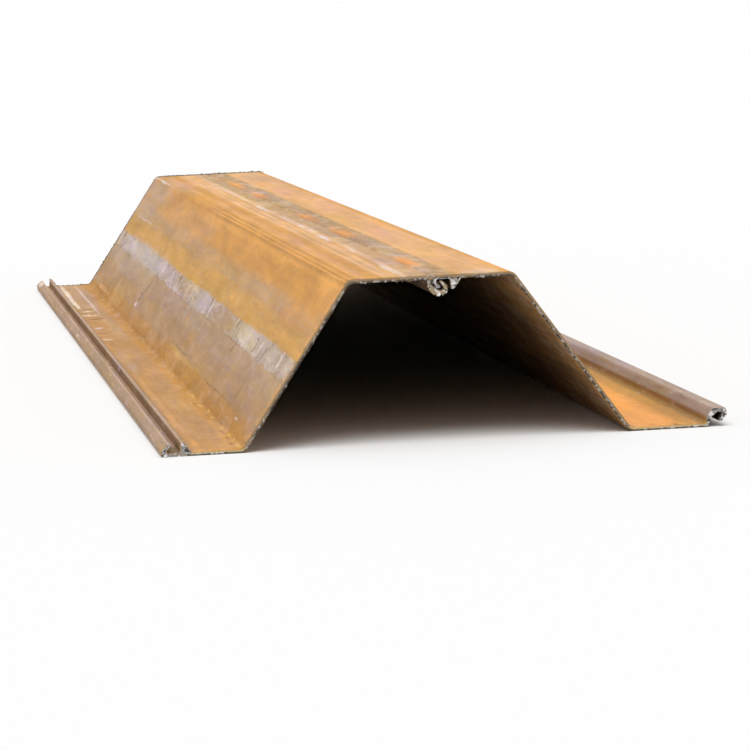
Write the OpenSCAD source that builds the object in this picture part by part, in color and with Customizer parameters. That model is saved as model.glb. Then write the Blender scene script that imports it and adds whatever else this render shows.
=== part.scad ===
// Pair of hot-rolled Z-section steel sheet piles, threaded together at the middle interlock and
// lying hat-up on its two bottom flanges.
// X runs across the pair, Y along it and Z up. The origin is midway along the floor under the pair.

/* [Pile] */
// Width that one pile adds to a wall, from interlock to interlock
system_w = 630; // [600:5:680]
// Height of the section over both flanges
section_h = 380; // [340:5:420]
// Length of both piles
pile_length = 6000; // [3000:100:12000]
// Thickness of the flanges
flange_t = 9.5; // [8:0.5:12]
// Thickness of the sloping web
web_t = 9.5; // [8:0.5:12]
// Slope of the web against the flanges, in degrees
web_angle = 55.4; // [52:0.2:60]
// Width of the claw's flange, from the web's outer corner to the claw
claw_flange_w = 178; // [160:1:195]
// Inside radius of the two bends between web and flanges
bend_r = 14; // [8:1:20]

/* [Hook] */
// Height of the hook's tip over the flange's outer face
hook_h = 31; // [29:0.5:34]
// Height of the neck under the leaning part of the hook
hook_shoulder_h = 16; // [15:0.5:18]
// Slope of the hook's back above the shoulder, in degrees
hook_back_angle = 40; // [38:1:44]
// Thickness of the hook at its tip
hook_tip_t = 7; // [5.5:0.5:8.5]

/* [Claw] */
// Thickness of the claw's wall
claw_wall_t = 10; // [8.5:0.5:12]
// Thickness of the claw's back
claw_back_t = 11; // [8:0.5:14]
// Thickness of the claw's nose beside the top of its cavity
claw_nose_t = 6.5; // [6:0.5:10]
// Height on the wall at which the claw's back begins to lean over
claw_shoulder_h = 26; // [23:0.5:29]
// Width of the flat tip of the claw's finger
claw_tip_w = 9.5; // [9:0.5:12]
// Slope of the finger's outer face, in degrees
claw_finger_angle = 42; // [38:1:46]

/* [Thumb] */
// Height of the thumb's tip over the flange's outer face
thumb_h = 33; // [29:0.5:36]
// Width of the thumb's flat tip
thumb_tip_w = 8; // [7.5:0.5:11]
// Slope of the thumb's long side, in degrees
thumb_angle = 54; // [48:1:62]

/* [Interlock fit] */
// Lean of the wall and of the neck that bears on it, in degrees
lock_lean = 5; // [3:0.5:7]
// Slope of the faces with which hook and claw grip each other, in degrees
grip_angle = 52; // [50:0.5:55]
// Play between the neck and the wall it bears on
seat_gap = 0.2; // [0.1:0.05:0.6]
// Play around the rest of the hook
lock_play = 2.5; // [1.5:0.25:3]
// Gap between the claw's nose and the thumb
thumb_gap = 4; // [2.5:0.5:6]

/* [Rounding] */
// Radius of the seam edge at the root of the claw
seam_r = 13; // [8:0.5:13]
// Radius of the edge at the root of the hook
neck_r = 8; // [5:0.5:9]
// Radius of the claw's nose
nose_r = 10; // [7:0.5:11]
// Radius of the hollow edges at the foot of wall and thumb
root_r = 8; // [5:0.5:10]
// Radius of the other edges of the claw
claw_r = 5; // [3:0.5:6]
// Radius of the edges of the hook and the thumb
tip_r = 3; // [2:0.25:3.25]

/* [Hidden] */

// Largest turn between two neighbouring points on a rounded corner, in degrees
arc_step = 9;

// Where the sloping web meets the flanges
web_run = section_h / tan(web_angle) - web_t / sin(web_angle);
face_run = (section_h - flange_t) / tan(web_angle);
web_top_x = system_w - claw_flange_w;
web_foot_x = web_top_x - web_run;
bend_outer_r = bend_r + web_t;

// Interlock places are [u, v]: u right from the interlock line, v in from the flange's outer face
lean = tan(lock_lean);
neck_u = claw_wall_t + seat_gap;
hook_shoulder = [neck_u + hook_shoulder_h * lean, hook_shoulder_h];
hook_back_tip = hook_shoulder + (hook_h - hook_shoulder_h) * [1 / tan(hook_back_angle), 1];
hook_grip_tip = hook_back_tip + hook_tip_t * [sin(grip_angle), -cos(grip_angle)];
hook_root = on_slope(hook_grip_tip, grip_angle, flange_t);

claw_top = hook_h + lock_play;
claw_h = claw_top + claw_back_t;
claw_tip_h = flange_t + lock_play;
claw_grip = hook_grip_tip + lock_play * [sin(grip_angle), -cos(grip_angle)];
cavity_back = hook_shoulder + lock_play * [-sin(hook_back_angle), cos(hook_back_angle)];
cavity_shoulder_v = (cavity_back[1] + (claw_wall_t - cavity_back[0]) * tan(hook_back_angle))
    / (1 - lean * tan(hook_back_angle));
cavity_shoulder = [claw_wall_t + cavity_shoulder_v * lean, cavity_shoulder_v];
cavity_corner = on_slope(claw_grip, grip_angle, claw_top);
nose_u = cavity_corner[0] + claw_nose_t;
claw_tip = on_slope(claw_grip, grip_angle, claw_tip_h);
claw_heel_v = claw_tip_h + (nose_u - claw_tip[0] - claw_tip_w) * tan(claw_finger_angle);
claw_shoulder = [claw_shoulder_h * lean, claw_shoulder_h];

thumb_u = nose_u + thumb_gap;
thumb_tip_u = thumb_u + (thumb_h - flange_t) * lean;
thumb_foot_u = thumb_tip_u + thumb_tip_w + (thumb_h - flange_t) / tan(thumb_angle);

// Corners are [x, z, radius], in order round the section of the left pile
hook_corners = [
    [hook_root[0], hook_root[1], tip_r],
    [hook_grip_tip[0], hook_grip_tip[1], tip_r],
    [hook_back_tip[0], hook_back_tip[1], tip_r],
    [hook_shoulder[0], hook_shoulder[1], claw_r],
    [neck_u, 0, neck_r],
];
thumb_corners = [
    [thumb_foot_u, flange_t, root_r],
    [thumb_tip_u + thumb_tip_w, thumb_h, tip_r],
    [thumb_tip_u, thumb_h, tip_r],
    [thumb_u, flange_t, tip_r],
];
claw_corners = [
    [flange_t * lean, flange_t, root_r],
    [claw_shoulder[0], claw_shoulder[1], claw_r],
    concat(on_slope(claw_shoulder, grip_angle, claw_h), root_r),
    [nose_u, claw_h, nose_r],
    [nose_u, claw_heel_v, claw_r],
    [claw_tip[0] + claw_tip_w, claw_tip[1], claw_r],
    [claw_tip[0], claw_tip[1], tip_r],
    [cavity_corner[0], cavity_corner[1], claw_r],
    concat(on_slope(cavity_back, hook_back_angle, claw_top), claw_r),
    [cavity_shoulder[0], cavity_shoulder[1], claw_r],
    [claw_wall_t, 0, seam_r],
];
pile_corners = concat(
    [
        [web_foot_x, 0, bend_outer_r],
        [web_foot_x + face_run, section_h - flange_t, bend_r],
    ],
    [for (c = claw_corners) [system_w + c[0], section_h - c[1], c[2]]],
    [
        [web_top_x, section_h, bend_outer_r],
        [web_top_x - face_run, flange_t, bend_r],
    ],
    thumb_corners,
    hook_corners
);
pile_outline = rounded(pile_corners);

// Midway between the neck at the left end and the nose at the right end
outline_x = [for (p = pile_outline) p[0]];
middle_x = (min(outline_x) + system_w + max(outline_x)) / 2;

// Point at height v on the slope that passes through p
function on_slope(p, angle, v) = [p[0] + (v - p[1]) / tan(angle), v];

function unit(v) = v / norm(v);

function heading(v) = atan2(v[1], v[0]);

// Angle between -180 and 180 degrees
function short_turn(a) = a > 180 ? a - 360 : a < -180 ? a + 360 : a;

// Points of the arc with radius r that rounds the corner p between its two neighbours
function corner_arc(before, p, after, r) =
    let (
        back = unit(before - p),
        ahead = unit(after - p),
        half_angle = acos(back * ahead) / 2,
        centre = p + unit(back + ahead) * r / sin(half_angle),
        start = heading(p + back * r / tan(half_angle) - centre),
        sweep = short_turn(heading(p + ahead * r / tan(half_angle) - centre) - start),
        steps = ceil(abs(sweep) / arc_step)
    )
    [for (i = [0:steps]) let (a = start + sweep * i / steps) centre + r * [cos(a), sin(a)]];

function place(c) = [c[0], c[1]];

function rounded(corners) =
    let (n = len(corners))
    [
        for (i = [0:n - 1])
            each corner_arc(
                place(corners[(i + n - 1) % n]),
                place(corners[i]),
                place(corners[(i + 1) % n]),
                corners[i][2]
            )
    ];

// One rolled pile, hook down at the left and claw up at the right
module rolled_pile() {
    rotate([90, 0, 0])
        linear_extrude(height = pile_length, center = true)
            polygon(pile_outline);
}

module left_pile() {
    color("peru")
        translate([-middle_x, 0, 0])
            rolled_pile();
}

// The same pile turned over, so that its hook sits in the left pile's claw
module right_pile() {
    color("chocolate")
        translate([system_w - middle_x, 0, section_h])
            rotate([180, 0, 0])
                rolled_pile();
}

left_pile();
right_pile();
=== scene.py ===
import math

import bpy
import numpy as np
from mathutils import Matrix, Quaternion, Vector
from mathutils.geometry import delaunay_2d_cdt


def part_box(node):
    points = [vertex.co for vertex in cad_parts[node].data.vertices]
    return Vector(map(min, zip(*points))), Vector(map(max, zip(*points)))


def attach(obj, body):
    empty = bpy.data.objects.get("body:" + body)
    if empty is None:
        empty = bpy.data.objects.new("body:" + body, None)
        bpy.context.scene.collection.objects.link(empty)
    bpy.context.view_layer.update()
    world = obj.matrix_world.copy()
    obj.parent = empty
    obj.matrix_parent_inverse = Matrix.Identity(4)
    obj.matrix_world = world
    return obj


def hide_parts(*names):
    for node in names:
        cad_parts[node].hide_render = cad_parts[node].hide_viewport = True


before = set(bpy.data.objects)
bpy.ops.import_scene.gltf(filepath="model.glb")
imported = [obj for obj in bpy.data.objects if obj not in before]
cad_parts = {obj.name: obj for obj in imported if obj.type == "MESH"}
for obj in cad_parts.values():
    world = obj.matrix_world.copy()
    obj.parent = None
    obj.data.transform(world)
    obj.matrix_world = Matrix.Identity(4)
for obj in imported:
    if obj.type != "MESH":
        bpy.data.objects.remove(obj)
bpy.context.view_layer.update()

# Left pile
# A hot-rolled Z pile of structural steel: flange with hook and thumb, sloping web, flange with claw.
# It was rolled as one long bar, cut to length with a torch and left to rust in the open.
mm = 0.001
left_low, left_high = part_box("left_pile")
right_low, right_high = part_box("right_pile")
system_w = right_low.x - left_low.x
section_h = left_high.z - left_low.z
pile_length = left_high.y - left_low.y
flange_t = 9.5 * mm
web_t = 9.5 * mm
web_slope = math.tan(math.radians(55.4))
claw_flange_w = 178 * mm
bend_r = 14 * mm
bend_outer_r = bend_r + web_t

hook_h = 31 * mm
hook_shoulder_h = 16 * mm
hook_back_angle = math.radians(40)
hook_tip_t = 7 * mm
claw_wall_t = 10 * mm
claw_back_t = 11 * mm
claw_nose_t = 6.5 * mm
claw_shoulder_h = 26 * mm
claw_tip_w = 9.5 * mm
claw_finger_slope = math.tan(math.radians(42))
thumb_h = 33 * mm
thumb_tip_w = 8 * mm
thumb_slope = math.tan(math.radians(54))
lean = math.tan(math.radians(5))
grip_angle = math.radians(52)
seat_gap = 0.2 * mm
lock_play = 2.5 * mm
thumb_gap = 4 * mm
seam_r = 13 * mm
neck_r = 8 * mm
nose_r = 10 * mm
root_r = 8 * mm
claw_r = 5 * mm
tip_r = 3 * mm


def on_slope(point, slope, height):
    """The point at a given height on the line of that slope through another point."""
    return np.array([point[0] + (height - point[1]) / slope, height])


# Interlock points are [u, v]: u right from the interlock line, v in from the flange's outer face
grip_slope = math.tan(grip_angle)
back_slope = math.tan(hook_back_angle)
off_grip = np.array([math.sin(grip_angle), -math.cos(grip_angle)])
off_back = np.array([-math.sin(hook_back_angle), math.cos(hook_back_angle)])
neck_u = claw_wall_t + seat_gap
hook_shoulder = np.array([neck_u + hook_shoulder_h * lean, hook_shoulder_h])
hook_back_tip = hook_shoulder + (hook_h - hook_shoulder_h) * np.array([1 / back_slope, 1])
hook_grip_tip = hook_back_tip + hook_tip_t * off_grip
hook_root = on_slope(hook_grip_tip, grip_slope, flange_t)
claw_top = hook_h + lock_play
claw_h = claw_top + claw_back_t
claw_tip_h = flange_t + lock_play
claw_grip = hook_grip_tip + lock_play * off_grip
cavity_back = hook_shoulder + lock_play * off_back
cavity_shoulder_v = (cavity_back[1] + (claw_wall_t - cavity_back[0]) * back_slope) / (1 - lean * back_slope)
cavity_corner = on_slope(claw_grip, grip_slope, claw_top)
cavity_bend = on_slope(cavity_back, back_slope, claw_top)
nose_u = cavity_corner[0] + claw_nose_t
claw_tip = on_slope(claw_grip, grip_slope, claw_tip_h)
claw_heel_v = claw_tip_h + (nose_u - claw_tip[0] - claw_tip_w) * claw_finger_slope
claw_shoulder = np.array([claw_shoulder_h * lean, claw_shoulder_h])
claw_bend = on_slope(claw_shoulder, grip_slope, claw_h)
thumb_u = nose_u + thumb_gap
thumb_tip_u = thumb_u + (thumb_h - flange_t) * lean
thumb_foot_u = thumb_tip_u + thumb_tip_w + (thumb_h - flange_t) / thumb_slope

# Corners are [u, v, radius], anticlockwise round the section that lies with its hook at the lower left
face_run = (section_h - flange_t) / web_slope
web_top_x = system_w - claw_flange_w
web_foot_x = web_top_x - section_h / web_slope + web_t * math.hypot(1, 1 / web_slope)
claw_corners = np.array([
    [flange_t * lean, flange_t, root_r],
    [*claw_shoulder, claw_r],
    [*claw_bend, root_r],
    [nose_u, claw_h, nose_r],
    [nose_u, claw_heel_v, claw_r],
    [claw_tip[0] + claw_tip_w, claw_tip_h, claw_r],
    [*claw_tip, tip_r],
    [*cavity_corner, claw_r],
    [*cavity_bend, claw_r],
    [claw_wall_t + cavity_shoulder_v * lean, cavity_shoulder_v, claw_r],
    [claw_wall_t, 0, seam_r],
]) * [1, -1, 1] + [system_w, section_h, 0]
pile_corners = np.array([
    [web_foot_x, 0, bend_outer_r],
    [web_foot_x + face_run, section_h - flange_t, bend_r],
    *claw_corners,
    [web_top_x, section_h, bend_outer_r],
    [web_top_x - face_run, flange_t, bend_r],
    [thumb_foot_u, flange_t, root_r],
    [thumb_tip_u + thumb_tip_w, thumb_h, tip_r],
    [thumb_tip_u, thumb_h, tip_r],
    [thumb_u, flange_t, tip_r],
    [*hook_root, tip_r],
    [*hook_grip_tip, tip_r],
    [*hook_back_tip, tip_r],
    [*hook_shoulder, claw_r],
    [neck_u, 0, neck_r],
])
seam_corner = 1 + len(claw_corners)
neck_corner = len(pile_corners) - 1
arc_points = 9
girth_step = 2.6 * mm
wave_count = 16


def unit(vectors):
    """Each vector divided by its own length."""
    return vectors / np.linalg.norm(vectors, axis=-1, keepdims=True)


def rolled_outline(corners):
    """Outline of the section and the distance along it from the end of the first corner's arc.

    Every corner becomes an arc that is tangent to both its sides, and long straight stretches get evenly
    spaced points, so that neighbours are never more than one girth step apart.
    """
    place, radius = corners[:, :2], corners[:, 2:]
    back = unit(np.roll(place, 1, 0) - place)
    ahead = unit(np.roll(place, -1, 0) - place)
    half = np.arccos((back * ahead).sum(1, keepdims=True)) / 2
    centre = place + unit(back + ahead) * radius / np.sin(half)
    enter = place + back * radius / np.tan(half) - centre
    leave = place + ahead * radius / np.tan(half) - centre
    start = np.arctan2(enter[:, 1:], enter[:, :1])
    sweep = np.arctan2(leave[:, 1:], leave[:, :1]) - start
    sweep = (sweep + math.pi) % (2 * math.pi) - math.pi
    angle = start + sweep * np.linspace(0, 1, arc_points)
    arcs = centre[:, None] + radius[:, None] * np.stack([np.cos(angle), np.sin(angle)], -1)
    loop = arcs.reshape(-1, 2)
    side = np.roll(loop, -1, 0) - loop
    parts = np.ceil(np.linalg.norm(side, axis=1) / girth_step).astype(int)
    first = np.repeat(np.arange(len(loop)), parts)
    share = (np.arange(parts.sum()) - np.repeat(np.cumsum(parts) - parts, parts)) / parts[first]
    loop = loop[first] + side[first] * share[:, None]
    girth = np.cumsum(np.linalg.norm(np.diff(loop, axis=0, prepend=loop[:1]), axis=1))
    return loop, girth - abs(sweep[0, 0]) * radius[0, 0]


def waves(places, shortest, longest, seed):
    """Uneven relief, mostly between -1 and 1.

    It is three times the mean of sine waves that each have a seeded heading, length and phase.
    """
    rng = np.random.default_rng(seed)
    length = np.exp(rng.uniform(math.log(shortest), math.log(longest), wave_count))
    heading = rng.uniform(0, 2 * math.pi, wave_count)
    phase = rng.uniform(0, 2 * math.pi, wave_count)
    pitch = 2 * math.pi / length * np.stack([np.cos(heading), np.sin(heading)])
    return np.sin(places @ pitch + phase).mean(-1) * 3


def inside(places, loop):
    """Even-odd rule: a place is inside where a level ray from it crosses the loop an odd number of times."""
    after = np.roll(loop, -1, 0)
    height = places[:, 1:]
    spans = (loop[:, 1] > height) != (after[:, 1] > height)
    rise = np.where(after[:, 1] == loop[:, 1], 1, after[:, 1] - loop[:, 1])
    crossing = loop[:, 0] + (height - loop[:, 1]) / rise * (after[:, 0] - loop[:, 0])
    return (spans & (places[:, :1] < crossing)).sum(1) % 2 == 1


# Sizes of the torch cut: cut_steps are distances from the end, and each pair of waves has the shortest and
# the longest wave of a relief
cut_steps = np.array([0, 0.4, 1.0, 1.8, 3, 5, 8, 12, 18, 28, 48, 80]) * mm
middle_stations = 42
melt_r = 2.2 * mm
slag_lip = 4.4 * mm
slag_reach = 5 * mm
slag_most = 4 * mm
slag_room = 40 * mm
slag_clear = 0.5 * mm
lump_waves = (6 * mm, 15 * mm)
patch_waves = (40 * mm, 160 * mm)
rim_burr = 3.2 * mm
rim_tilt = 0.3
cut_wander = 1.3 * mm
wander_waves = (25 * mm, 200 * mm)
cut_relief = 0.9 * mm
relief_waves = (4 * mm, 14 * mm)
cut_grid = 2.6 * mm
open_room = 1.0
crease = math.radians(40)


def torch_cut_pile(name, loop, girth, seed):
    """Closed mesh of a pile: the outline carried along Y between two torch-cut ends.

    The cut wanders a little in Y and the torch has rounded its upper rim to a quarter circle, or left a low
    burr there at the far end. Slag hangs in lumps from edges that face down, fades within a few millimetres
    of the cut and stays small where another wall or the floor is near. Each end face is a triangulated sheet
    of points with its own rough relief. Every point knows its distance along the girth and how far through
    the plate it lies, from 0 at the upper rim to 1 at the lower.
    """
    half = pile_length / 2
    middle = np.linspace(-half + cut_steps[-1], half - cut_steps[-1], middle_stations)[1:-1]
    along = np.concatenate([cut_steps - half, middle, half - cut_steps[::-1]])
    depth = half - abs(along)
    after, before = np.roll(loop, -1, 0), np.roll(loop, 1, 0)
    area = (loop[:, 0] * after[:, 1] - after[:, 0] * loop[:, 1]).sum() / 2
    turn = math.copysign(1, area)
    tangent = unit(after - before)
    outward = np.stack([tangent[:, 1], -tangent[:, 0]], 1) * turn
    hanging = np.clip(-outward[:, 1], 0, 1)
    far_end = (along > 0)[:, None]
    strip = np.stack([girth, 0 * girth], 1)
    lumps = [np.clip(0.15 + waves(strip, *lump_waves, seed + end), 0, 1.5)
             * np.clip(0.8 + 0.6 * waves(strip, *patch_waves, seed + 3 + end), 0.25, 1.4) for end in (0, 1)]
    span = loop - loop[:, None]
    reach = np.linalg.norm(span, axis=2)
    in_front = (span * outward[:, None]).sum(2)
    facing = np.where(in_front > 0.5 * reach, reach, open_room)
    room = facing.min(1, where=reach > 0, initial=open_room)
    lip = np.where(far_end, lumps[1], lumps[0]) * hanging * slag_lip * np.clip(room / slag_room - 0.3, 0, 1)
    lip = np.minimum(lip, np.clip(loop[:, 1] - slag_clear, 0, slag_most))
    lip = lip * np.exp(-depth / slag_reach)[:, None]
    rising = np.clip(outward[:, 1], 0, 1)
    burr = far_end * (0.5 + lumps[1]) * rising * rim_burr * np.exp(-depth / melt_r)[:, None]
    wander = waves(loop, *wander_waves, seed + 2) * cut_wander
    shift = np.sign(along)[:, None] * wander * np.exp(-depth / (3 * slag_reach))[:, None]
    left_over = np.clip(melt_r - depth, 0, melt_r)
    melted = (melt_r - np.sqrt(melt_r ** 2 - left_over ** 2))[:, None] * (1 - hanging) * (1 - far_end)
    section = loop + (lip + burr - melted)[:, :, None] * outward
    y = along[:, None] + shift
    sides = np.stack([section[..., 0], y, section[..., 1]], -1)
    rings, count = y.shape
    number = np.arange(rings * count).reshape(rings, count)
    beside = np.roll(number, -1, 1)
    quads = np.stack([number[:-1], number[1:], beside[1:], beside[:-1]], -1).reshape(-1, 4)
    vertices = [sides.reshape(-1, 3)]
    triangles = []
    girths = [np.tile(girth, rings)]
    throughs = [np.tile(np.clip(0.5 - outward[:, 1], 0, 1), rings)]
    low, high = loop.min(0), loop.max(0)
    mesh_x, mesh_z = np.meshgrid(np.arange(low[0], high[0], cut_grid), np.arange(low[1], high[1], cut_grid))
    stagger = (np.arange(len(mesh_x)) % 2)[:, None] * cut_grid / 2
    grid = np.stack([mesh_x + stagger, mesh_z], -1).reshape(-1, 2)
    total = rings * count
    for ring, end in ((0, -1), (rings - 1, 1)):
        rim = section[ring]
        inner = grid[inside(grid, rim)]
        gap = np.linalg.norm(inner[:, None] - rim, axis=2)
        clear = gap.min(1) > 0.5 * cut_grid
        inner, gap = inner[clear], gap[clear]
        above = gap[:, outward[:, 1] > rim_tilt].min(1)
        below = gap[:, outward[:, 1] < -rim_tilt].min(1)
        flat = np.concatenate([rim, inner]) / mm
        edges = np.stack([np.arange(count), (np.arange(count) + 1) % count], 1)[:: int(turn)]
        border = np.arange(count)[:: int(turn)]
        result = delaunay_2d_cdt(flat.tolist(), edges.tolist(), [border.tolist()], 1, 1e-6)
        source = np.array([ids[0] for ids in result[3]])
        faces = source[np.array(result[2])]
        rough = waves(inner, *relief_waves, seed + 5) * cut_relief
        level = end * (half + waves(inner, *wander_waves, seed + 2) * cut_wander + rough)
        ids = np.concatenate([number[ring], total + np.arange(len(inner))])
        triangles.append(ids[faces][:, :: -end])
        vertices.append(np.stack([inner[:, 0], level, inner[:, 1]], 1))
        girths.append(girth[gap.argmin(1)])
        throughs.append(above / (above + below))
        total += len(inner)
    mesh = bpy.data.meshes.new(name)
    sheet = np.concatenate(triangles)
    wound = quads[:, :: int(turn)]
    mesh.from_pydata(np.concatenate(vertices).tolist(), [], wound.tolist() + sheet.tolist())
    mesh.attributes.new("girth", "FLOAT", "POINT").data.foreach_set("value", np.concatenate(girths))
    mesh.attributes.new("through", "FLOAT", "POINT").data.foreach_set("value", np.concatenate(throughs))
    cut = np.concatenate([np.zeros(len(quads)), np.ones(len(sheet))])
    mesh.attributes.new("cut", "FLOAT", "FACE").data.foreach_set("value", cut)
    mesh.shade_smooth()
    mesh.set_sharp_from_angle(angle=crease)
    piece = bpy.data.objects.new(name, mesh)
    bpy.context.collection.objects.link(piece)
    return piece


class Value:
    """A shader socket that takes Python's arithmetic: each operator adds one Math node to its tree."""

    def __init__(self, tree, socket):
        self.tree = tree
        self.socket = socket

    def math(self, operation, first, second):
        """One Math node on two terms, each of them a value or a plain number."""
        node = self.tree.nodes.new("ShaderNodeMath")
        node.operation = operation
        for socket, term in zip(node.inputs, (first, second)):
            if isinstance(term, Value):
                self.tree.links.new(term.socket, socket)
            else:
                socket.default_value = term
        return Value(self.tree, node.outputs[0])

    def __add__(self, other):
        return self.math("ADD", self, other)

    def __radd__(self, other):
        return self.math("ADD", other, self)

    def __sub__(self, other):
        return self.math("SUBTRACT", self, other)

    def __rsub__(self, other):
        return self.math("SUBTRACT", other, self)

    def __mul__(self, other):
        return self.math("MULTIPLY", self, other)

    def __rmul__(self, other):
        return self.math("MULTIPLY", other, self)


class Finish:
    """The node tree of a material or a world, empty at first."""

    def __init__(self, block):
        block.use_nodes = True
        self.block = block
        self.tree = block.node_tree
        self.tree.nodes.clear()

    def add(self, kind, settings, sockets, output=0):
        """One output of a new node, whose settings are set first and then its sockets' values or links."""
        node = self.tree.nodes.new("ShaderNode" + kind)
        for name, setting in settings.items():
            setattr(node, name, setting)
        for name, term in sockets.items():
            if isinstance(term, Value):
                self.tree.links.new(term.socket, node.inputs[name])
            else:
                node.inputs[name].default_value = term
        if not node.outputs:
            return None
        return Value(self.tree, node.outputs[output])

    def noise(self, x, y, z, detail=3.0, roughness=0.5, twist=0.0):
        """Cloudy noise between 0 and 1 over three coordinates, each already scaled to features per unit."""
        place = self.add("CombineXYZ", {}, {"X": x, "Y": y, "Z": z})
        sockets = {"Vector": place, "Scale": 1.0, "Detail": detail, "Roughness": roughness}
        return self.add("TexNoise", {}, {**sockets, "Distortion": twist})

    def grit(self, x, y, z):
        """Grains that each have one value between 0 and 1, over coordinates scaled to grains per unit."""
        place = self.add("CombineXYZ", {}, {"X": x, "Y": y, "Z": z})
        cells = self.add("TexVoronoi", {}, {"Vector": place, "Scale": 1.0}, 1)
        return self.add("SeparateXYZ", {}, {"Vector": cells}, 0)

    def rise(self, value, low, high):
        """Smooth step from 0 at low to 1 at high, or down from 1 where low is the greater."""
        sockets = {"Value": value, "From Min": low, "From Max": high, "To Min": 0.0, "To Max": 1.0}
        if low > high:
            sockets.update({"From Min": high, "From Max": low, "To Min": 1.0, "To Max": 0.0})
        return self.add("MapRange", {"interpolation_type": "SMOOTHSTEP"}, sockets)

    def band(self, value, low, high, soft):
        """1 between low and high, fading to 0 over a soft width centred on either border."""
        half = soft / 2
        return self.rise(value, low - half, low + half) * self.rise(value, high + half, high - half)

    def mix(self, under, over, share):
        """The colour over laid on the colour under by a share from 0 to 1."""
        settings = {"data_type": "RGBA", "clamp_factor": True}
        pair = [term if isinstance(term, Value) else (*term, 1.0) for term in (under, over)]
        return self.add("Mix", settings, {0: share, 6: pair[0], 7: pair[1]}, 2)

    def wash(self, colour, tint, share):
        """The colour multiplied by a tint, whose parts may be above 1, by a share from 0 to 1."""
        settings = {"data_type": "RGBA", "blend_type": "MULTIPLY", "clamp_factor": True}
        return self.add("Mix", settings, {0: share, 6: colour, 7: (*tint, 1.0)}, 2)

    def dim(self, colour, share):
        """The colour multiplied by a grey value, which may be above 1."""
        grey = self.add("CombineXYZ", {}, {"X": share, "Y": share, "Z": share})
        settings = {"data_type": "RGBA", "blend_type": "MULTIPLY", "clamp_factor": True}
        return self.add("Mix", settings, {0: 1.0, 6: colour, 7: grey}, 2)


# Rust and scale colours of the rolled faces, and painted light and shade
orange_rust = (0.68, 0.318, 0.076)
glow_rust = (0.80, 0.40, 0.10)
peach_rust = (0.80, 0.45, 0.21)
bright_rust = (0.88, 0.39, 0.11)
yellow_rust = (0.62, 0.345, 0.10)
# Ochre rust; on the right flange towards the claw the same colour is painted shade
ochre_rust_and_shade = (0.55, 0.275, 0.068)
flaky_ochre = (0.47, 0.23, 0.05)
gold_fleck = (0.72, 0.43, 0.13)
brown_rust = (0.455, 0.285, 0.155)
mauve_brown = (0.455, 0.308, 0.200)
mauve_scale = (0.51, 0.32, 0.18)
far_scale = (0.52, 0.37, 0.26)
grey_scale = (0.53, 0.35, 0.20)
seam_grey = (0.46, 0.30, 0.170)
pale_scrape = (0.51, 0.395, 0.325)
lavender_scrape = (0.59, 0.49, 0.465)
# Pale scrapes; on the far rim of the cut the same colour is painted glints
white_scrape_and_glint = (0.82, 0.69, 0.61)
cream_flake = (0.93, 0.79, 0.62)
dark_line = (0.20, 0.115, 0.05)
spot_rust = (0.85, 0.36, 0.09)
pink_rust = (0.84, 0.42, 0.25)
deep_rust = (0.30, 0.135, 0.045)
mill_scale = (0.36, 0.265, 0.205)
# Rust of the flange by the hook, made darker as painted shade of the sky it loses to the web
flange_rust_and_shade = (0.50, 0.28, 0.12)
lock_brown = (0.41, 0.275, 0.19)
thumb_brown = (0.39, 0.25, 0.145)
# Painted shade: darker brown for the slot between thumb and hook and under the hook
slot_painted_shade = (0.36, 0.23, 0.13)
slot_olive = (0.17, 0.115, 0.03)
# Pale scraped edges, partly painted highlights on the tips of thumb and hook
edge_scrape_and_highlight = (0.58, 0.42, 0.31)
claw_mauve = (0.42, 0.325, 0.275)
# Painted shade: darker brown for the lower side of the claw
claw_painted_shade = (0.29, 0.21, 0.155)
# Painted shade: olive brown for the concave root between flange and claw
root_painted_shade = (0.28, 0.165, 0.055)
# Painted light: a pale colour that cancels the shade at the bottom of the seam groove
groove_painted_light = (0.84, 0.57, 0.35)
# Dark rust and mill scale of the inner faces, made darker as painted shade of the space under the pile
under_rust_and_shade = (0.19, 0.105, 0.048)
# Painted shade: dark brown for the interlock faces that lie inside, under the top flange
lock_painted_shade = (0.085, 0.055, 0.032)
# Painted shade with some dirt: near black for the deep claw cavities
cavity_dirt_and_shade = (0.030, 0.022, 0.016)
yellow_wash = (1.04, 1.02, 0.74)
mauve_wash = (0.93, 0.95, 1.24)

# Bands of the left pile, as the distance in millimetres along the girth from the seam edge: from, to,
# softness of the borders, colour, strength, how far streaks break the band up, and how scuffed it is
left_bands = [
    (-40, 36, 12, grey_scale, 0.95, 0.3, 0.45),
    (30, 104, 20, peach_rust, 0.85, 0.4, 0.0),
    (32, 52, 14, white_scrape_and_glint, 0.42, 0.9, 0.4),
    (60, 94, 12, white_scrape_and_glint, 0.14, 0.6, 0.0),
    (98, 190, 18, orange_rust, 0.6, 0.4, 0.0),
    (126, 147, 10, peach_rust, 0.5, 0.6, 0.0),
    (184, 300, 34, orange_rust, 0.9, 0.3, 0.0),
    (278, 334, 30, mauve_scale, 0.8, 0.5, 0.1),
    (328, 410, 12, yellow_rust, 0.9, 0.3, 0.1),
    (436, 600, 12, brown_rust, 0.95, 0.2, 0.15),
    (440, 505, 40, mauve_brown, 0.9, 0.3, 0.1),
    (393, 448, 5, pale_scrape, 0.95, 0.15, 0.85),
    # Painted shade: a dark line along the lower border of the pale stripe
    (447, 450, 2, dark_line, 0.45, 0.8, 0.0),
    (572, 660, 24, ochre_rust_and_shade, 0.9, 0.3, 0.2),
    (606, 636, 14, flaky_ochre, 0.7, 0.5, 0.3),
    # Flange by the hook: rust made darker, partly painted shade
    (648, 745, 20, flange_rust_and_shade, 0.9, 0.3, 0.1),
    # Inner faces: dark rust and mill scale, partly painted shade
    (890, 1830, 16, under_rust_and_shade, 0.9, 0.3, 0.3),
]

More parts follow.
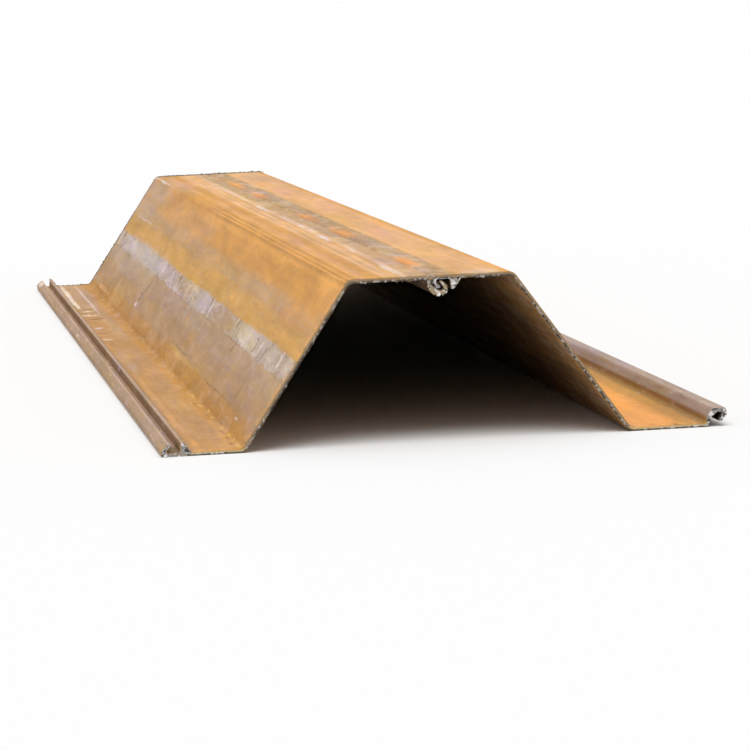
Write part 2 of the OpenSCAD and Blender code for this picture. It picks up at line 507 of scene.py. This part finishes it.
# Bands that keep to the edges of the section: from, to, softness, colour, strength
left_edges = [
    # Painted light in the seam groove, to cancel its shade
    (-24, -11, 5, groove_painted_light, 0.85),
    (735, 780, 5, thumb_brown, 0.92),
    # Painted shade in the slot between the thumb and the hook
    (776, 801, 10, slot_painted_shade, 0.85),
    (798, 890, 6, lock_brown, 0.92),
    # Thumb tip: scrape and painted highlight
    (764, 776, 5, edge_scrape_and_highlight, 0.45),
    # Hook tip: scrape and painted highlight
    (840, 853, 5, edge_scrape_and_highlight, 0.80),
    # Painted shade under the hook, towards the floor
    (870, 892, 10, slot_painted_shade, 0.55),
    # Painted shade on the claw faces of the inner interlock
    (1690, 1812, 8, lock_painted_shade, 0.90),
    # Painted shade with some dirt inside the claw's cavity
    (1812, 1870, 6, cavity_dirt_and_shade, 0.92),
]

# Fine lines along the pile: place along the girth, half width, how much lighter or darker. Those over
# the bend into the web, from 149 to 201, are painted highlights and shade of the curve; the others are
# lines the rolls drew
left_lines = [
    (54, 4.0, -0.08),
    (67, 4.0, 0.08),
    (79, 4.0, -0.09),
    (90, 4.0, 0.06),
    (101, 5.0, -0.05),
    (149, 5.0, 0.15),
    (161, 4.0, -0.12),
    (170, 3.0, 0.11),
    (176, 2.2, -0.16),
    (181, 2.2, 0.16),
    (188, 3.4, -0.14),
    (201, 5.0, 0.08),
]

# Single marks: place along the pile in metres, distance along the girth in millimetres, half length in
# metres, half width in millimetres, colour, strength
left_marks = [
    (2.62, 216, 0.70, 50, far_scale, 0.75),
    (2.70, 290, 0.75, 44, far_scale, 0.7),
    (1.20, 250, 1.30, 60, far_scale, 0.25),
    (2.20, 160, 0.80, 26, far_scale, 0.45),
    (2.70, 176, 0.42, 4, white_scrape_and_glint, 0.9),
    (-2.72, 44, 0.28, 12, white_scrape_and_glint, 0.6),
    (-1.92, 43, 0.10, 6, white_scrape_and_glint, 0.6),
    (-1.30, 45, 0.16, 9, white_scrape_and_glint, 0.95),
    (-0.70, 43, 0.10, 7, white_scrape_and_glint, 0.6),
    (0.40, 44, 0.26, 8, white_scrape_and_glint, 0.85),
    (1.02, 44, 0.12, 7, white_scrape_and_glint, 0.7),
    (-2.30, 8, 0.70, 30, peach_rust, 0.35),
    (2.20, 130, 0.30, 36, pink_rust, 0.45),
    (1.95, 105, 0.20, 16, gold_fleck, 0.4),
    (-1.30, 126, 0.25, 18, pink_rust, 0.4),
    (-2.62, 305, 0.55, 32, orange_rust, 0.5),
    (-2.75, 202, 0.30, 24, glow_rust, 0.7),
    (-1.35, 206, 0.55, 20, glow_rust, 0.6),
    (0.20, 204, 0.70, 20, glow_rust, 0.45),
    (-1.55, 300, 0.45, 20, far_scale, 0.4),
    (2.40, 322, 0.40, 3, white_scrape_and_glint, 0.6),
    (-1.15, 358, 0.07, 14, glow_rust, 0.7),
    (-2.60, 372, 0.45, 16, glow_rust, 0.35),
    (1.70, 420, 1.20, 40, lavender_scrape, 0.9),
    (-0.55, 420, 0.40, 34, lavender_scrape, 0.65),
    (-2.25, 420, 0.75, 34, lavender_scrape, 0.35),
    (-1.24, 424, 0.32, 36, brown_rust, 0.75),
    (0.02, 428, 0.22, 26, brown_rust, 0.5),
    (-2.74, 420, 0.018, 30, white_scrape_and_glint, 0.95),
    (-2.55, 416, 0.10, 28, white_scrape_and_glint, 0.45),
    (-2.40, 422, 0.014, 28, dark_line, 0.65),
    (-2.27, 420, 0.018, 30, white_scrape_and_glint, 0.95),
    (-2.17, 426, 0.014, 34, dark_line, 0.7),
    (-1.86, 416, 0.17, 28, white_scrape_and_glint, 0.45),
    (-1.62, 408, 0.016, 20, dark_line, 0.7),
    (-0.86, 414, 0.020, 26, white_scrape_and_glint, 0.6),
    (-0.80, 406, 0.012, 18, dark_line, 0.9),
    (0.28, 408, 0.014, 18, dark_line, 0.9),
    (0.62, 402, 0.018, 12, dark_line, 0.8),
    (0.90, 422, 0.024, 26, white_scrape_and_glint, 0.75),
    (2.35, 420, 0.40, 26, white_scrape_and_glint, 0.35),
    (2.80, 402, 0.030, 14, dark_line, 0.95),
    (1.02, 486, 0.014, 34, dark_line, 0.9),
    (1.06, 525, 0.018, 30, dark_line, 0.8),
    (-2.38, 532, 0.014, 30, dark_line, 0.5),
    (-1.80, 462, 0.016, 14, dark_line, 0.65),
    (-0.82, 525, 0.10, 30, ochre_rust_and_shade, 0.5),
    (-0.48, 478, 0.030, 16, orange_rust, 0.5),
    (-0.20, 520, 0.013, 24, dark_line, 0.6),
    (-1.97, 571, 0.43, 2.2, dark_line, 0.5),
    (-0.75, 562, 0.30, 2.2, dark_line, 0.55),
    (1.09, 557, 0.035, 10, white_scrape_and_glint, 0.95),
    (-2.60, 587, 0.035, 4, white_scrape_and_glint, 0.8),
    (2.42, 596, 0.32, 9, peach_rust, 0.9),
    (2.80, 586, 0.26, 13, far_scale, 0.7),
    # The dark marks between the gold flecks are painted shadows of the flakes
    (-2.93, 628, 0.04, 6, gold_fleck, 0.9),
    (-2.88, 637, 0.03, 4, dark_line, 0.6),
    (-2.80, 624, 0.035, 5, gold_fleck, 0.9),
    (-2.74, 634, 0.04, 4, dark_line, 0.6),
    (-2.66, 626, 0.03, 6, gold_fleck, 0.9),
    (-2.58, 636, 0.05, 4, dark_line, 0.55),
    (-2.48, 630, 0.05, 5, gold_fleck, 0.85),
    (-2.40, 622, 0.04, 4, dark_line, 0.5),
    (-2.22, 626, 0.035, 5, gold_fleck, 0.9),
    (-2.14, 634, 0.04, 4, dark_line, 0.6),
    (-2.06, 622, 0.04, 6, gold_fleck, 0.85),
    (-1.90, 628, 0.06, 5, gold_fleck, 0.7),
    (-1.82, 636, 0.05, 4, dark_line, 0.45),
    (-1.62, 624, 0.07, 5, gold_fleck, 0.6),
    (-0.85, 575, 0.40, 9, gold_fleck, 0.5),
    (2.00, 476, 1.10, 42, far_scale, 0.5),
    (0.90, 668, 0.70, 20, far_scale, 0.35),
    (-1.80, 722, 1.10, 9, peach_rust, 0.4),
    (2.35, 726, 0.65, 9, white_scrape_and_glint, 0.5),
    (2.30, 690, 0.90, 46, far_scale, 0.55),
    (-0.50, 714, 0.40, 14, far_scale, 0.5),
    (0.40, 716, 0.030, 16, white_scrape_and_glint, 0.7),
    (0.88, 718, 0.030, 16, white_scrape_and_glint, 0.7),
    (1.46, 708, 0.040, 30, cream_flake, 0.75),
    (1.64, 712, 0.030, 24, cream_flake, 0.75),
    (2.05, 726, 0.36, 9, cream_flake, 0.9),
    (2.60, 725, 0.42, 10, cream_flake, 0.9),
    (2.25, 676, 0.70, 5, white_scrape_and_glint, 0.75),
    (0.52, 712, 0.013, 26, dark_line, 0.95),
    (0.67, 714, 0.012, 24, dark_line, 0.9),
    (1.28, 698, 0.022, 36, dark_line, 0.95),
    (1.74, 708, 0.020, 28, dark_line, 0.95),
    (2.76, 714, 0.015, 18, dark_line, 0.85),
    (-2.80, 716, 0.09, 8, glow_rust, 0.6),
    (2.00, 755, 1.40, 22, far_scale, 0.5),
    (-0.84, 784, 0.040, 8, white_scrape_and_glint, 0.7),
    (-2.94, 806, 0.10, 24, slot_olive, 0.8),
    (-0.60, 806, 0.030, 6, white_scrape_and_glint, 0.6),
    (-0.82, 846, 0.050, 8, white_scrape_and_glint, 0.8),
    (-1.35, 826, 0.060, 7, white_scrape_and_glint, 0.4),
    (0.50, 866, 0.060, 6, white_scrape_and_glint, 0.6),
    (2.90, 856, 0.080, 14, white_scrape_and_glint, 0.8),
]

# Interlocks, which are lighter where they are cut: from, to along the girth, share of tan rust on the cut
left_light_metal = [(738, 950, 0.25), (1700, 1900, 0.65)]

# Weathered stretches with mill scale, runs and freckles: from, to along the girth, strength
left_weather = [(200, 620, 0.14)]

# Colours of the torch-cut faces, among them painted glints and a painted highlight
burnt_rim = (0.28, 0.185, 0.10)
burnt_steel = (0.026, 0.022, 0.018)
grain_steel = (0.40, 0.36, 0.31)
grey_steel = (0.30, 0.285, 0.265)
# Bare steel, its whitest spots and grains being painted glints
bare_steel_and_glint = (0.84, 0.82, 0.79)
cut_tan = (0.40, 0.25, 0.095)
# Painted highlight: cream along the upper edge of the feet's cut faces
cut_cream_highlight = (0.62, 0.46, 0.20)
cut_olive = (0.11, 0.075, 0.028)
bump_depth = 0.8 * mm


def rolled_skin(name, bands, edges, lines, marks, light_metal, weather, seed):
    """Rusted rolled faces and torch-cut ends.

    The colour is laid on in this order: lengthwise bands with wandering borders, some of them scuffed and
    some of them partly painted shade; weathered mill scale, runs and freckles; heat tint and the scorched rim
    beside the cut, with painted glints on the far rim; bands that keep to the edges of the section, several
    of them painted shade in slots, roots and cavities and one painted light in the seam groove; single marks,
    among them painted shadows beside flakes; washes of yellow and mauve; flecks. Clouds, streaks, grain and
    fine lines then make it lighter or darker, the lines over the bend as painted highlight and shade. On
    faces marked as cut it changes to burnt steel with bright grains: brown at the upper rim, lighter and
    smoother within the girth ranges of the interlocks, with painted glints of bare steel there, and a painted
    cream highlight over olive at the feet.
    """
    skin = Finish(bpy.data.materials.new(name))
    girth = skin.add("Attribute", {"attribute_name": "girth"}, {}, 2) * 1000.0
    through = skin.add("Attribute", {"attribute_name": "through"}, {}, 2)
    cut = skin.add("Attribute", {"attribute_name": "cut"}, {}, 2)
    place = {"Vector": skin.add("TexCoord", {}, {}, 3)}
    x = skin.add("SeparateXYZ", {}, place, 0)
    y = skin.add("SeparateXYZ", {}, place, 1)
    z = skin.add("SeparateXYZ", {}, place, 2)
    depth = pile_length / 2 - y.math("ABSOLUTE", y, 0.0)
    slant = girth + y * 9.0
    wander = skin.noise(y * 1.3, seed, 0.53) - 0.5
    waver = skin.noise(slant * 0.021, y * 5.3, seed + 3.1, 4.0, 0.6, 0.5) - 0.5
    ragged = skin.noise(slant * 0.09, y * 23.0, seed + 5.3, 5.0, 0.65, 0.6) - 0.5
    cloud = skin.noise(slant * 0.017, y * 1.9, seed + 7.7, 4.0, 0.6, 0.3) - 0.5
    patch = skin.noise(slant * 0.011, y * 1.1, seed + 11.4, 4.0, 0.55, 0.3)
    mottle = skin.noise(slant * 0.042, y * 4.3, seed + 29.2, 3.0, 0.55, 0.4)
    streak = skin.noise(slant * 0.12, y * 0.9, seed + 13.6, 4.0, 0.55, 0.4)
    scab = skin.noise(slant * 0.017, y * 5.3, seed + 17.2, 3.0, 0.5, 0.5)
    fleck = skin.noise(slant * 0.075, y * 6.5, seed + 19.8, 4.0, 0.65, 0.5)
    crumble = skin.noise(slant * 0.24, y * 62.0, seed + 23.5, 4.0, 0.65) - 0.5
    grain = skin.noise(x * 150.0, y * 110.0, z * 150.0, 3.0, 0.65) - 0.5
    pitted = skin.noise(x * 52.0, y * 52.0, z * 52.0, 3.0, 0.65) - 0.5
    # The girth as bands and marks see it, with wandering borders, and as the edges see it
    drawn = girth + wander * 10.0 + waver * 16.0 + ragged * 9.0
    held = girth + ragged * 3.0
    broken = skin.rise(streak + waver * 0.5, 0.60, 0.40)
    pale_scab = skin.rise(scab, 0.52, 0.60)
    dark_crack = skin.band(scab, 0.462, 0.486, 0.016)
    dark_fleck = skin.rise(fleck, 0.56, 0.68)
    pale_fleck = skin.rise(fleck, 0.44, 0.33)
    scuffs = [
        (white_scrape_and_glint, pale_scab, 0.40),
        (dark_line, dark_crack, 0.50),
        (dark_line, dark_fleck, 0.45),
        (white_scrape_and_glint, pale_fleck, 0.45),
    ]
    colour = skin.mix(orange_rust, yellow_rust, patch)
    for low, high, soft, tint, strength, breaks, scuffed in bands:
        share = skin.band(drawn, low, high, soft) * strength
        colour = skin.mix(colour, tint, share * (1 - broken * breaks))
        for scuff, where, part in scuffs if scuffed else []:
            colour = skin.mix(colour, scuff, share * where * (part * scuffed))
    bloom = skin.noise(x * 8.0, y * 5.0, z * 8.0, 6.0, 0.66)
    freckle = skin.noise(x * 36.0, y * 30.0, z * 36.0, 4.0, 0.6)
    run = skin.noise(y * 17.0, girth * 0.004, seed + 31.7, 4.0, 0.6)
    stains = [
        (mill_scale, bloom, 0.50, 0.57, 0.55),
        (glow_rust, run, 0.52, 0.68, 0.40),
        (deep_rust, bloom, 0.44, 0.36, 0.40),
        (deep_rust, freckle, 0.56, 0.66, 0.50),
        (gold_fleck, freckle, 0.43, 0.34, 0.40),
    ]
    for low, high, strength in weather:
        share = skin.band(held, low, high, 40.0) * strength
        for tint, noise, start, full, part in stains:
            colour = skin.mix(colour, tint, share * skin.rise(noise, start, full) * part)
    heat = skin.rise(depth, 0.09, 0.0)
    colour = skin.mix(colour, glow_rust, heat * skin.rise(fleck, 0.46, 0.58) * 0.5)
    colour = skin.mix(colour, dark_line, heat * skin.rise(fleck, 0.46, 0.36) * 0.5)
    lock = 0.0
    lock_rust = 0.0
    for low, high, rusted in light_metal:
        thick = skin.band(girth, low, high, 4.0)
        lock = thick + lock
        lock_rust = thick * rusted + lock_rust
    foot = skin.rise(z, 0.014, 0.008) * (1 - lock)
    far_end = skin.rise(y, 0.0, 1.0)
    rim = skin.mix(burnt_rim, burnt_steel, far_end * 0.8)
    # Painted glints: white flecks on the far rim's burr
    rim = skin.mix(rim, white_scrape_and_glint, far_end * skin.rise(crumble, 0.04, 0.16) * 0.8)
    scorched = skin.rise(depth, 0.0045, 0.0010) + far_end * skin.rise(depth, 0.040, 0.018)
    colour = skin.mix(colour, rim, scorched * (0.85 - foot * 0.6))
    for low, high, soft, tint, strength in edges:
        share = skin.band(held, low, high, soft) * strength
        colour = skin.mix(colour, tint, share)
        colour = skin.mix(colour, white_scrape_and_glint, share * pale_fleck * 0.24)
        colour = skin.mix(colour, dark_line, share * dark_fleck * 0.32)
    spread = y + waver * 0.12 + ragged * 0.05
    uneven = waver * 1.8 + ragged * 2.8 + crumble * 2.6
    for along, across, length, width, tint, strength in marks:
        far_along = (spread - along) * (1 / length)
        far_across = (drawn - across) * (1 / width)
        apart = far_along * far_along + far_across * far_across + uneven
        colour = skin.mix(colour, tint, skin.rise(apart, 1.3, 0.0) * strength)
    washes = [
        (yellow_wash, patch, 0.52, 0.70, 0.7),
        (mauve_wash, patch, 0.48, 0.32, 0.6),
        (yellow_wash, mottle, 0.54, 0.72, 0.7),
        (mauve_wash, mottle, 0.46, 0.30, 0.7),
    ]
    for tint, noise, start, full, part in washes:
        colour = skin.wash(colour, tint, skin.rise(noise, start, full) * part)
    colour = skin.mix(colour, dark_line, dark_fleck * 0.10)
    colour = skin.mix(colour, white_scrape_and_glint, skin.rise(fleck, 0.36, 0.26) * 0.12)
    tone = 1.0 + cloud * 0.75 + (streak - 0.5) * 0.12 + (scab - 0.5) * 0.10 + grain * 0.16 + pitted * 0.20
    # Fine lines, shown towards the near end; over the bend they are painted highlights and shade
    if lines:
        shown = skin.rise(y, 1.9, -0.3)
        drifting = girth + wander * 3.0 + waver * 2.5
        gaps = [skin.noise(y * 2.1, seed + shift, 0.4, 4.0, 0.6) for shift in (20.3, 26.1, 33.7)]
        for number, (middle, half, strength) in enumerate(lines):
            kept = skin.rise(gaps[number % len(gaps)], 0.36, 0.58) * 1.1 + 0.25
            line = skin.band(drifting, middle - half, middle + half, half)
            tone = tone + line * shown * kept * strength
    colour = skin.dim(colour, tone)

    drag = skin.noise(x * 120.0, y * 40.0, z * 120.0, 4.0, 0.6)
    scorch = skin.noise(x * 60.0, seed + 0.4, z * 60.0, 3.0, 0.6)
    blotch = skin.rise(skin.noise(x * 24.0, seed + 1.4, z * 24.0, 4.0, 0.6), 0.46, 0.62)
    grains = skin.grit(x * 165.0, y * 165.0, z * 165.0)
    shine = skin.noise(x * 75.0, y * 30.0, z * 75.0, 3.0, 0.6)
    lower = skin.rise(through + (scorch - 0.5) * 0.6, 0.34, 0.56)
    steel = skin.mix(burnt_rim, burnt_steel, lower)
    steel = skin.mix(steel, cut_tan, blotch * 0.25)
    steel = skin.mix(steel, grain_steel, skin.rise(grains, 0.66, 0.74) * (0.25 + lower * 0.55))
    plain = skin.mix(grey_steel, cut_tan, blotch * lock_rust)
    plain = skin.mix(plain, burnt_steel, skin.rise(scorch, 0.46, 0.36) * 0.6)
    plain = skin.mix(plain, burnt_steel, skin.rise(grains, 0.26, 0.16) * 0.85)
    # Painted glints: bright bare-steel spots and grains on the interlocks' cut faces
    plain = skin.mix(plain, bare_steel_and_glint, skin.rise(shine, 0.52, 0.64) * 0.5)
    plain = skin.mix(plain, bare_steel_and_glint, skin.rise(grains, 0.78, 0.86) * 0.85)
    # Painted highlight: cream at the upper edge of each foot's cut face, over olive lower down
    sole = skin.mix(cut_cream_highlight, cut_olive, skin.rise(through, 0.28, 0.52))
    sole = skin.mix(sole, grain_steel, skin.rise(grains, 0.80, 0.86) * 0.5)
    steel = skin.mix(skin.mix(steel, plain, lock), sole, foot * 0.9)
    colour = skin.mix(colour, steel, cut)
    bare = skin.rise(shine, 0.52, 0.64) * lock
    rough = skin.noise(x * 90.0, y * 60.0, z * 90.0, 4.0, 0.6)
    height = (rough + scab) * (1 - cut) + (drag + grains) * cut * 2.0
    bump = skin.add("Bump", {}, {"Strength": 0.6, "Distance": bump_depth, "Height": height})
    shader = skin.add("BsdfPrincipled", {}, {
        "Base Color": colour,
        "Roughness": 0.80 - cut * 0.30 + grain * 0.2,
        "Metallic": cut * bare * 0.7,
        "Normal": bump,
        "Specular IOR Level": 0.25,
    })
    skin.add("OutputMaterial", {}, {"Surface": shader})
    return skin.block


left_loop, left_girth = rolled_outline(np.roll(pile_corners, -seam_corner, 0))
left_shift = np.array([left_low.x - left_loop[:, 0].min(), left_low.z])
left_loop = left_loop + left_shift
left_pile = torch_cut_pile("rolled_left_pile", left_loop, left_girth, seed=11)
left_pile.data.materials.append(rolled_skin(
    "left_rust", left_bands, left_edges, left_lines, left_marks, left_light_metal, left_weather, seed=2.37))
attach(left_pile, "root")
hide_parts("left_pile")

# Right pile
# The same rolled section turned over: its hook is threaded into the left pile's claw along the whole length.
# It comes from the same rolling, and its open claw is the free edge at the right.

# Lists as for the left pile, with the girth counted from the seam edge at the root of this pile's hook
right_bands = [
    (-60, 50, 16, seam_grey, 0.95, 0.3, 0.6),
    (50, 160, 16, peach_rust, 0.95, 0.2, 0.0),
    (158, 186, 14, bright_rust, 0.6, 0.9, 0.2),
    (186, 640, 30, orange_rust, 0.7, 0.3, 0.1),
    (290, 345, 50, mauve_scale, 0.6, 0.6, 0.1),
    (410, 590, 60, brown_rust, 0.75, 0.5, 0.15),
    (580, 640, 30, ochre_rust_and_shade, 0.8, 0.4, 0.2),
    (632, 752, 20, bright_rust, 0.95, 0.1, 0.0),
    # Painted shade: the flange darkens towards the root of the claw
    (744, 815, 50, ochre_rust_and_shade, 0.9, 0.1, 0.0),
    # Inner faces: dark rust and mill scale, partly painted shade
    (974, 2200, 16, under_rust_and_shade, 0.9, 0.3, 0.3),
]
right_edges = [
    # Painted light in the seam groove, to cancel its shade
    (-20, -7, 5, groove_painted_light, 0.8),
    # Painted shade in the root between the flange and the claw
    (788, 832, 22, root_painted_shade, 0.85),
    (816, 912, 18, claw_mauve, 0.95),
    # Painted shade on the claw's lower side
    (814, 836, 14, claw_painted_shade, 0.6),
    # Painted shade with some dirt inside the claw's cavity
    (906, 976, 5, cavity_dirt_and_shade, 0.95),
    # Painted shade on the hook faces of the inner interlock
    (1716, 1890, 8, lock_painted_shade, 0.90),
]
right_lines = []
right_marks = [
    (-2.46, 6, 0.22, 22, spot_rust, 0.85),
    (-1.10, 6, 0.28, 22, spot_rust, 0.8),
    (-0.22, 5, 0.26, 20, spot_rust, 0.75),
    (1.22, 6, 0.26, 20, spot_rust, 0.8),
    (2.04, 6, 0.28, 19, spot_rust, 0.75),
    (0.60, 22, 0.60, 26, far_scale, 0.5),
    (-1.85, 24, 0.50, 22, far_scale, 0.5),
    (2.40, 120, 0.90, 70, far_scale, 0.3),
    (-1.20, 92, 0.22, 26, pink_rust, 0.5),
    (0.25, 112, 0.35, 36, pink_rust, 0.5),
    (1.45, 100, 0.30, 30, pink_rust, 0.5),
    (2.05, 96, 0.20, 30, bright_rust, 0.4),
    (-0.30, 84, 0.22, 26, gold_fleck, 0.45),
    (-2.20, 80, 0.20, 24, gold_fleck, 0.35),
    (-0.80, 140, 0.25, 16, bright_rust, 0.5),
    (-2.94, 108, 0.09, 48, white_scrape_and_glint, 0.35),
]
right_light_metal = [(804, 990, 0.10), (1732, 1900, 0.25)]
right_weather = [(40, 160, 0.10), (196, 640, 1.0), (640, 800, 0.10)]

right_loop, right_girth = rolled_outline(np.roll(pile_corners, -neck_corner, 0))
right_loop = right_loop * [1, -1]
right_loop = right_loop + [right_low.x - right_loop[:, 0].min(), right_high.z]
right_pile = torch_cut_pile("rolled_right_pile", right_loop, right_girth, seed=41)
right_pile.data.materials.append(rolled_skin(
    "right_rust", right_bands, right_edges, right_lines, right_marks, right_light_metal, right_weather,
    seed=5.61))
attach(right_pile, "root")
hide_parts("right_pile")

# Slag over the seam
# Drops of iron oxide and steel that ran into the groove between the piles while the ends were cut.
# They froze there and stick to both piles; the beads are dark grey-brown and rough.
bead_turns = 40
bead_rows = 24
bead_size = np.array([12.5, 7.0, 6.5]) * mm
bead_sink = 4.5 * mm
bead_inset = 3 * mm
bead_swell = 0.16
bead_waves = (0.35, 1.2)
seam_place = left_shift + [system_w + claw_wall_t + seat_gap / 2, section_h - bead_sink]


def slag_bead(name, centre, size, seed):
    """Closed lump: a ball stretched to three half sizes, its radius swollen and dented by waves."""
    turn = np.linspace(0, 2 * math.pi, bead_turns, endpoint=False)
    tilt = np.linspace(0, math.pi, bead_rows + 2)[1:-1, None]
    ball = np.stack([np.sin(tilt) * np.cos(turn), np.sin(tilt) * np.sin(turn), np.cos(tilt) + 0 * turn], -1)
    ball = np.concatenate([ball.reshape(-1, 3), [[0, 0, 1], [0, 0, -1]]])
    swell = 1 + bead_swell * waves(ball[:, :2] + ball[:, 2:] * [0.7, -0.4], *bead_waves, seed)
    number = np.arange(bead_rows * bead_turns).reshape(bead_rows, bead_turns)
    beside = np.roll(number, -1, 1)
    quads = np.stack([number[:-1], number[1:], beside[1:], beside[:-1]], -1).reshape(-1, 4)
    top, bottom = len(ball) - 2, len(ball) - 1
    upper = np.stack([np.full(bead_turns, top), number[0], beside[0]], -1)
    lower = np.stack([np.full(bead_turns, bottom), beside[-1], number[-1]], -1)
    mesh = bpy.data.meshes.new(name)
    vertices = centre + ball * swell[:, None] * size
    mesh.from_pydata(vertices.tolist(), [], quads.tolist() + upper.tolist() + lower.tolist())
    mesh.shade_smooth()
    bead = bpy.data.objects.new(name, mesh)
    bpy.context.collection.objects.link(bead)
    return bead


slag_finish = Finish(bpy.data.materials.new("grey_slag"))
slag_at = {"Vector": slag_finish.add("TexCoord", {}, {}, 3)}
slag_x = slag_finish.add("SeparateXYZ", {}, slag_at, 0)
slag_y = slag_finish.add("SeparateXYZ", {}, slag_at, 1)
slag_z = slag_finish.add("SeparateXYZ", {}, slag_at, 2)
slag_grain = slag_finish.grit(slag_x * 260.0, slag_y * 260.0, slag_z * 260.0)
slag_cloud = slag_finish.noise(slag_x * 90.0, slag_y * 90.0, slag_z * 90.0, 4.0, 0.6)
slag_colour = slag_finish.mix(burnt_rim, grey_scale, slag_finish.rise(slag_cloud, 0.40, 0.62))
slag_colour = slag_finish.mix(slag_colour, burnt_steel, slag_finish.rise(slag_grain, 0.30, 0.20) * 0.6)
slag_colour = slag_finish.mix(slag_colour, grain_steel, slag_finish.rise(slag_grain, 0.72, 0.82) * 0.7)
slag_bump = slag_finish.add("Bump", {}, {
    "Strength": 0.7,
    "Distance": bump_depth,
    "Height": slag_grain + slag_cloud,
})
slag_shader = slag_finish.add("BsdfPrincipled", {}, {
    "Base Color": slag_colour,
    "Roughness": 0.55 + slag_cloud * 0.3,
    "Normal": slag_bump,
    "Specular IOR Level": 0.3,
})
slag_finish.add("OutputMaterial", {}, {"Surface": slag_shader})
bead_ends = [("near", -pile_length / 2 + bead_inset, 71), ("far", pile_length / 2 - bead_inset, 83)]
for end_name, end_y, end_seed in bead_ends:
    bead_centre = np.array([seam_place[0], end_y, seam_place[1]])
    bead = slag_bead("seam_slag_" + end_name, bead_centre, bead_size, end_seed)
    bead.data.materials.append(slag_finish.block)
    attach(bead, "root")

# Floor
# A plain pale studio floor, matt, on which the pile lies level.
floor_reach = 160.0
floor_white = (0.96, 0.96, 0.96, 1.0)
floor_finish = Finish(bpy.data.materials.new("pale_floor"))
floor_shader = floor_finish.add("BsdfPrincipled", {}, {
    "Base Color": floor_white,
    "Roughness": 0.9,
    "Specular IOR Level": 0.1,
})
floor_finish.add("OutputMaterial", {}, {"Surface": floor_shader})
floor_mesh = bpy.data.meshes.new("floor")
floor_turns = ((-1, -1), (1, -1), (1, 1), (-1, 1))
floor_corners = [(right * floor_reach, back * floor_reach, 0) for right, back in floor_turns]
floor_mesh.from_pydata(floor_corners, [], [(0, 1, 2, 3)])
floor_mesh.materials.append(floor_finish.block)
floor = bpy.data.objects.new("floor", floor_mesh)
bpy.context.collection.objects.link(floor)

# Light
# One wide soft lamp high above the near end and an even grey surround; the backdrop shows white.
lamp_strength = 1.75
lamp_spread = math.radians(50)
lamp_heading = Vector((0.10, 0.38, -0.92))
surround_level = 0.52
backdrop_level = 1.0
white = (1.0, 1.0, 1.0, 1.0)
lamp_data = bpy.data.lights.new("soft_key", "SUN")
lamp_data.energy = lamp_strength
lamp_data.angle = lamp_spread
lamp = bpy.data.objects.new("soft_key", lamp_data)
lamp.rotation_mode = "QUATERNION"
lamp.rotation_quaternion = lamp_heading.to_track_quat("-Z", "Y")
bpy.context.collection.objects.link(lamp)
surround = Finish(bpy.data.worlds.new("surround"))
viewed = surround.add("LightPath", {}, {}, "Is Camera Ray")
mirrored = surround.add("LightPath", {}, {}, "Is Glossy Ray")
seen = viewed.math("MINIMUM", viewed + mirrored, 1.0)
surround_light = seen * (backdrop_level - surround_level) + surround_level
backdrop = surround.add("Background", {}, {"Color": white, "Strength": surround_light})
surround.add("OutputWorld", {}, {"Surface": backdrop})
bpy.context.scene.world = surround.block
bpy.context.scene.view_settings.view_transform = "Standard"

# Camera
# It stands 10 m before the near end, a little above the pile and left of its middle, and dips to the right.
camera_place = Vector((-1.3513, -13.27837, 1.06706))
aim = Vector((-0.1557, -3.0, 0.1606))
camera_roll = math.radians(-2.55)
sensor_w = 36.0
focal_length = 220.206
view_reach = 400.0
camera_data = bpy.data.cameras.new("camera")
camera_data.sensor_width = sensor_w
camera_data.lens = focal_length
camera_data.clip_end = view_reach
camera = bpy.data.objects.new("camera", camera_data)
camera.location = camera_place
camera.rotation_mode = "QUATERNION"
upright = (aim - camera_place).to_track_quat("-Z", "Y")
camera.rotation_quaternion = upright @ Quaternion((0, 0, 1), camera_roll)
bpy.context.collection.objects.link(camera)
bpy.context.scene.camera = camera

bpy.context.view_layer.update()
